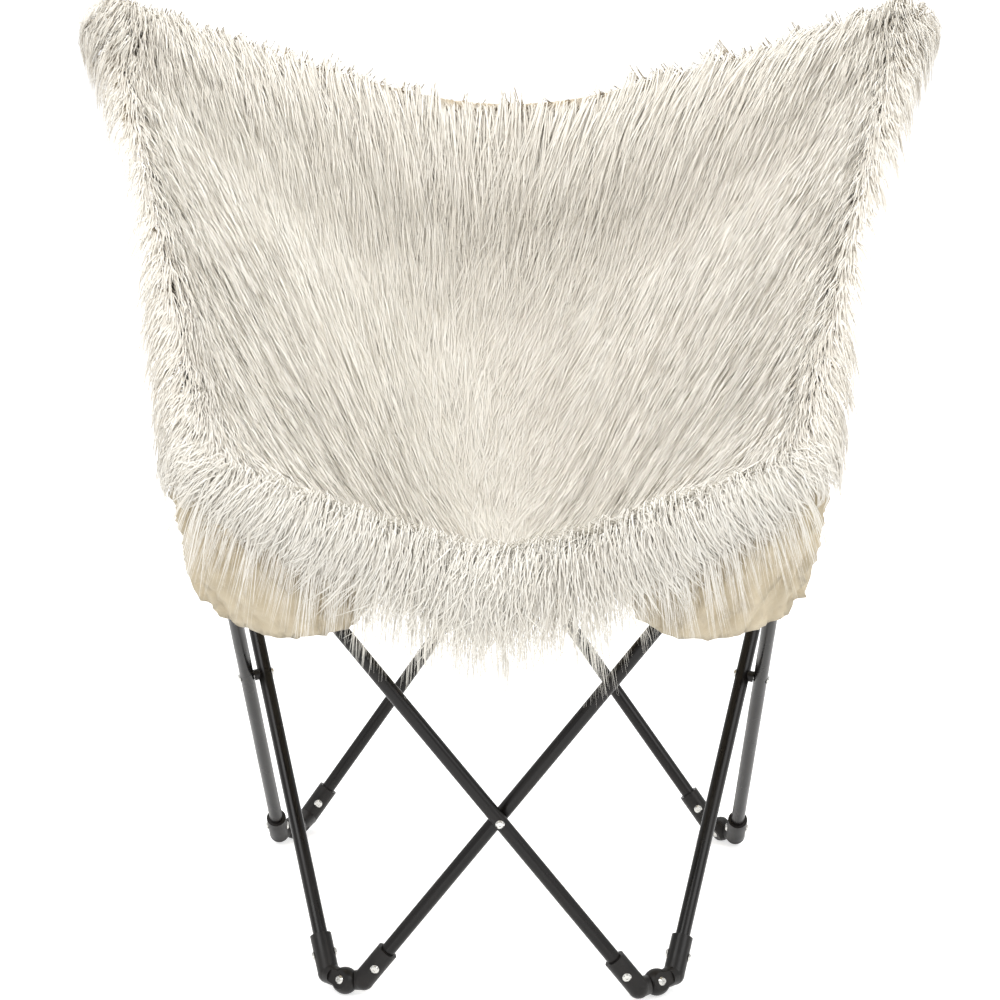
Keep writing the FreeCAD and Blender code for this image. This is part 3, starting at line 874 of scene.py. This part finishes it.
# %% Pockets
POCKET_ROWS = 40
POCKET_COLUMNS = 60
SEAM_GAP = 0.0015
HEM_DEPTH = 0.009
HEM_RISE = 0.0014
CANVAS_THICKNESS = 0.0016
BULGE = 0.006
CREASE_RISE = 0.009
CREASE_ACROSS = 0.11
CREASE_SLANT = 9
CREASE_DOWN = 13
CREASE_SIZE = 1.7
CREASE_SHARPNESS = 2.4
FINE_CREASE = 0.4
FINE_SIZE = 3.1
FINE_SHARPNESS = 3.0
SLACK_DEPTH = 0.025
SLACK_ENDS = 3


def smooth_line(points, count):
    """Evenly spread points on a smooth curve through a few points."""
    points = np.array(points, float)
    slopes = np.gradient(points, axis=0)
    out = []
    for s in np.linspace(0, len(points) - 1, count):
        k = min(int(s), len(points) - 2)
        out.append(between(points, slopes, k, s - k))
    return np.array(out)


def on_cover(row, column):
    """A point just under the backing, where a pocket is sewn."""
    place = np.array([float(row)]), np.array([float(column)])
    return (on_grid(cloth_points, *place) - SEAM_GAP * on_grid(cloth_normals, *place))[0]


def pocket_sheet(name, lines, centre, seed):
    """A sheet from seam to hem, pushed out by its slack and its creases."""
    across = [smooth_line(line, POCKET_COLUMNS + 1) for line in lines]
    points = smooth_line(across, POCKET_ROWS + 1)
    depth = np.linalg.norm(points - points[:1], axis=2)
    outward = points - np.array(centre)
    outward[..., 2] = 0
    outward /= np.linalg.norm(outward, axis=2, keepdims=True)
    ends = np.sin(np.linspace(0, math.pi, POCKET_COLUMNS + 1))[None, :]
    push = BULGE * np.sin(math.pi * 0.8 * depth / depth[-1:]) * ends
    for r in range(points.shape[0]):
        for c in range(points.shape[1]):
            along = c * CREASE_ACROSS + depth[r, c] * CREASE_SLANT
            spot = Vector((along, depth[r, c] * CREASE_DOWN, seed))
            sharp = max(0.0, 1 - CREASE_SHARPNESS * abs(noise.noise(spot * CREASE_SIZE))) ** 2
            fine = max(0.0, 1 - FINE_SHARPNESS * abs(noise.noise(spot * FINE_SIZE))) ** 2
            slack = min(1.0, depth[r, c] / SLACK_DEPTH) * min(1.0, SLACK_ENDS * ends[0, c])
            push[r, c] += CREASE_RISE * (sharp + FINE_CREASE * fine) * slack
    push += HEM_RISE * (depth > depth[-1:] - HEM_DEPTH)
    points = points + outward * push[..., None]
    return cloth_from_grid(name, points, canvas, CANVAS_THICKNESS)


def to_right(line):
    return [(-x, y, z) for x, y, z in line]


FRONT_PLACES = ((0, 37), (0, 26), (0, 14), (0, 3), (2, 0), (9, 0), (20, 0))
FRONT_SEAM = [on_cover(row, column) for row, column in FRONT_PLACES]
FRONT_SHOULDER = [
    (-0.106, -0.338, 0.428), (-0.160, -0.347, 0.445), (-0.215, -0.355, 0.472),
    (-0.262, -0.359, 0.496), (-0.286, -0.342, 0.503), (-0.285, -0.304, 0.512), on_cover(21, 1.5),
]
FRONT_HEM = [
    (-0.110, -0.334, 0.410), (-0.140, -0.341, 0.381), (-0.185, -0.346, 0.371),
    (-0.226, -0.345, 0.380), (-0.254, -0.338, 0.397), (-0.276, -0.308, 0.430), on_cover(23, 4),
]
WING_PLACES = ((150, 25), (150, 18), (150, 10), (150, 3), (148, 0), (142, 0), (131, 0))
WING_SEAM = [on_cover(row, column) for row, column in WING_PLACES]
WING_SHOULDER = [
    on_cover(147, 25), (-0.300, 0.342, 0.800), (-0.345, 0.351, 0.820), (-0.388, 0.353, 0.838),
    (-0.418, 0.336, 0.840), (-0.416, 0.300, 0.824), on_cover(130, 1.5),
]
WING_HEM = [
    on_cover(142, 25), (-0.292, 0.336, 0.728), (-0.330, 0.340, 0.722), (-0.368, 0.334, 0.732),
    (-0.394, 0.310, 0.744), (-0.402, 0.280, 0.764), on_cover(128, 4),
]
FRONT_MIDDLE = (-0.20, -0.26, 0.4)
WING_MIDDLE = (-0.33, 0.24, 0.8)
FRONT_POCKET = [FRONT_SEAM, FRONT_SHOULDER, FRONT_HEM, [FRONT_MIDDLE]]
WING_POCKET = [WING_SEAM, WING_SHOULDER, WING_HEM, [WING_MIDDLE]]
POCKETS = [
    ("front_left_pocket", "left_side_rear", FRONT_POCKET, 1.0),
    ("front_right_pocket", "right_side_rear", [to_right(line) for line in FRONT_POCKET], 7.0),
    ("left_wing_pocket", "left_side_front", WING_POCKET, 13.0),
    ("right_wing_pocket", "right_side_front", [to_right(line) for line in WING_POCKET], 19.0),
]
for name, body, (seam, shoulder, hem, middle), seed in POCKETS:
    piece, area = pocket_sheet("canvas_" + name, (seam, shoulder, hem), middle[0], seed)
    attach(piece, body)
    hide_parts(name)

# %% [markdown]
# ## The cover halves
# Each half of the cover is one sheet of cloth, with its fur and its binding on it, and each of its
# pieces has its placement baked into its mesh. The halves are not cut as rectangles, so only the
# true area of each is printed.

for side in ("left", "right"):
    for piece in [backing[side]] + fur[side] + bindings[side]:
        folds_with(piece)
    area = backing_area[side]
    print("cover half", side, round(area, 4), "square metres")

# %% [markdown]
# ## Camera
# The photograph is a straight front view from a little above the seat through a long lens. The
# place and lens come from matching the frame's tubes; the shift is a few pixels of framing.

# %% Camera
camera_data = bpy.data.cameras.new("photo_camera")
camera_data.sensor_width = 36.0
camera_data.lens = 119.71
camera_data.shift_x = -0.0049
camera = bpy.data.objects.new("photo_camera", camera_data)
camera.location = (0.0457, -3.2570, 1.1424)
camera.rotation_euler = (math.pi / 2 - 0.218, 0.0, 0.014)
bpy.context.scene.collection.objects.link(camera)
bpy.context.scene.camera = camera
print("camera at", tuple(camera.location), "lens", camera_data.lens)

# %% [markdown]
# ## Floor and light
# A product photograph on white has large soft lights and a floor that runs into the backdrop.
# The floor is pale and keeps the shadow; what the camera sees behind it is plain white.

# %% Studio
FLOOR_GLOW = 0.6
FLOOR_REACH = 30.0
FLOOR_DROP = 0.0005


def studio_floor():
    material, tree, shader = new_material("pale_studio_floor")
    shader.inputs["Base Color"].default_value = linear("#EDEDED")
    shader.inputs["Roughness"].default_value = 0.9
    shader.inputs["Specular IOR Level"].default_value = 0.1
    path = add_node(tree, "ShaderNodeLightPath")
    seen = add_node(
        tree, "ShaderNodeMath", {"operation": "MAXIMUM"},
        {0: path.outputs["Is Camera Ray"], 1: path.outputs["Is Glossy Ray"]},
    )
    glow = add_node(
        tree, "ShaderNodeMath", {"operation": "MULTIPLY", 1: FLOOR_GLOW},
        {0: seen.outputs["Value"]},
    )
    shader.inputs["Emission Color"].default_value = linear("#FFFFFF")
    tree.links.new(glow.outputs["Value"], shader.inputs["Emission Strength"])
    return material


floor_builder = bmesh.new()
bmesh.ops.create_grid(floor_builder, x_segments=1, y_segments=1, size=FLOOR_REACH)
floor_mesh = bpy.data.meshes.new("studio_floor")
floor_builder.to_mesh(floor_mesh)
floor_builder.free()
floor_mesh.materials.append(studio_floor())
floor = bpy.data.objects.new("studio_floor", floor_mesh)
floor.location.z = -FLOOR_DROP
bpy.context.scene.collection.objects.link(floor)


def soft_box(name, place, aim, size, watts):
    data = bpy.data.lights.new(name, "AREA")
    data.shape = "SQUARE"
    data.size = size
    data.energy = watts
    lamp = bpy.data.objects.new(name, data)
    lamp.location = place
    lamp.rotation_euler = (Vector(aim) - Vector(place)).to_track_quat("-Z", "Y").to_euler()
    bpy.context.scene.collection.objects.link(lamp)


soft_box("key_softbox", (-2.0, -2.4, 2.8), (0, 0, 0.5), 2.0, 45)
soft_box("fill_softbox", (2.4, -2.0, 2.0), (0, 0, 0.4), 2.0, 32)
soft_box("top_softbox", (0.0, 0.6, 3.2), (0, 0, 0.4), 2.4, 45)

world = bpy.data.worlds.new("white_studio")
bpy.context.scene.world = world
world.use_nodes = True
sky = world.node_tree
background = sky.nodes["Background"]
background.inputs["Color"].default_value = linear("#FFFFFF")
ray = add_node(sky, "ShaderNodeLightPath")
strength = add_node(
    sky, "ShaderNodeMapRange", {"To Min": 0.8, "To Max": 1.0},
    {"Value": ray.outputs["Is Camera Ray"]},
)
sky.links.new(strength.outputs["Result"], background.inputs["Strength"])
bpy.context.scene.view_settings.view_transform = "Standard"
print("lights", [light.name for light in bpy.data.lights])
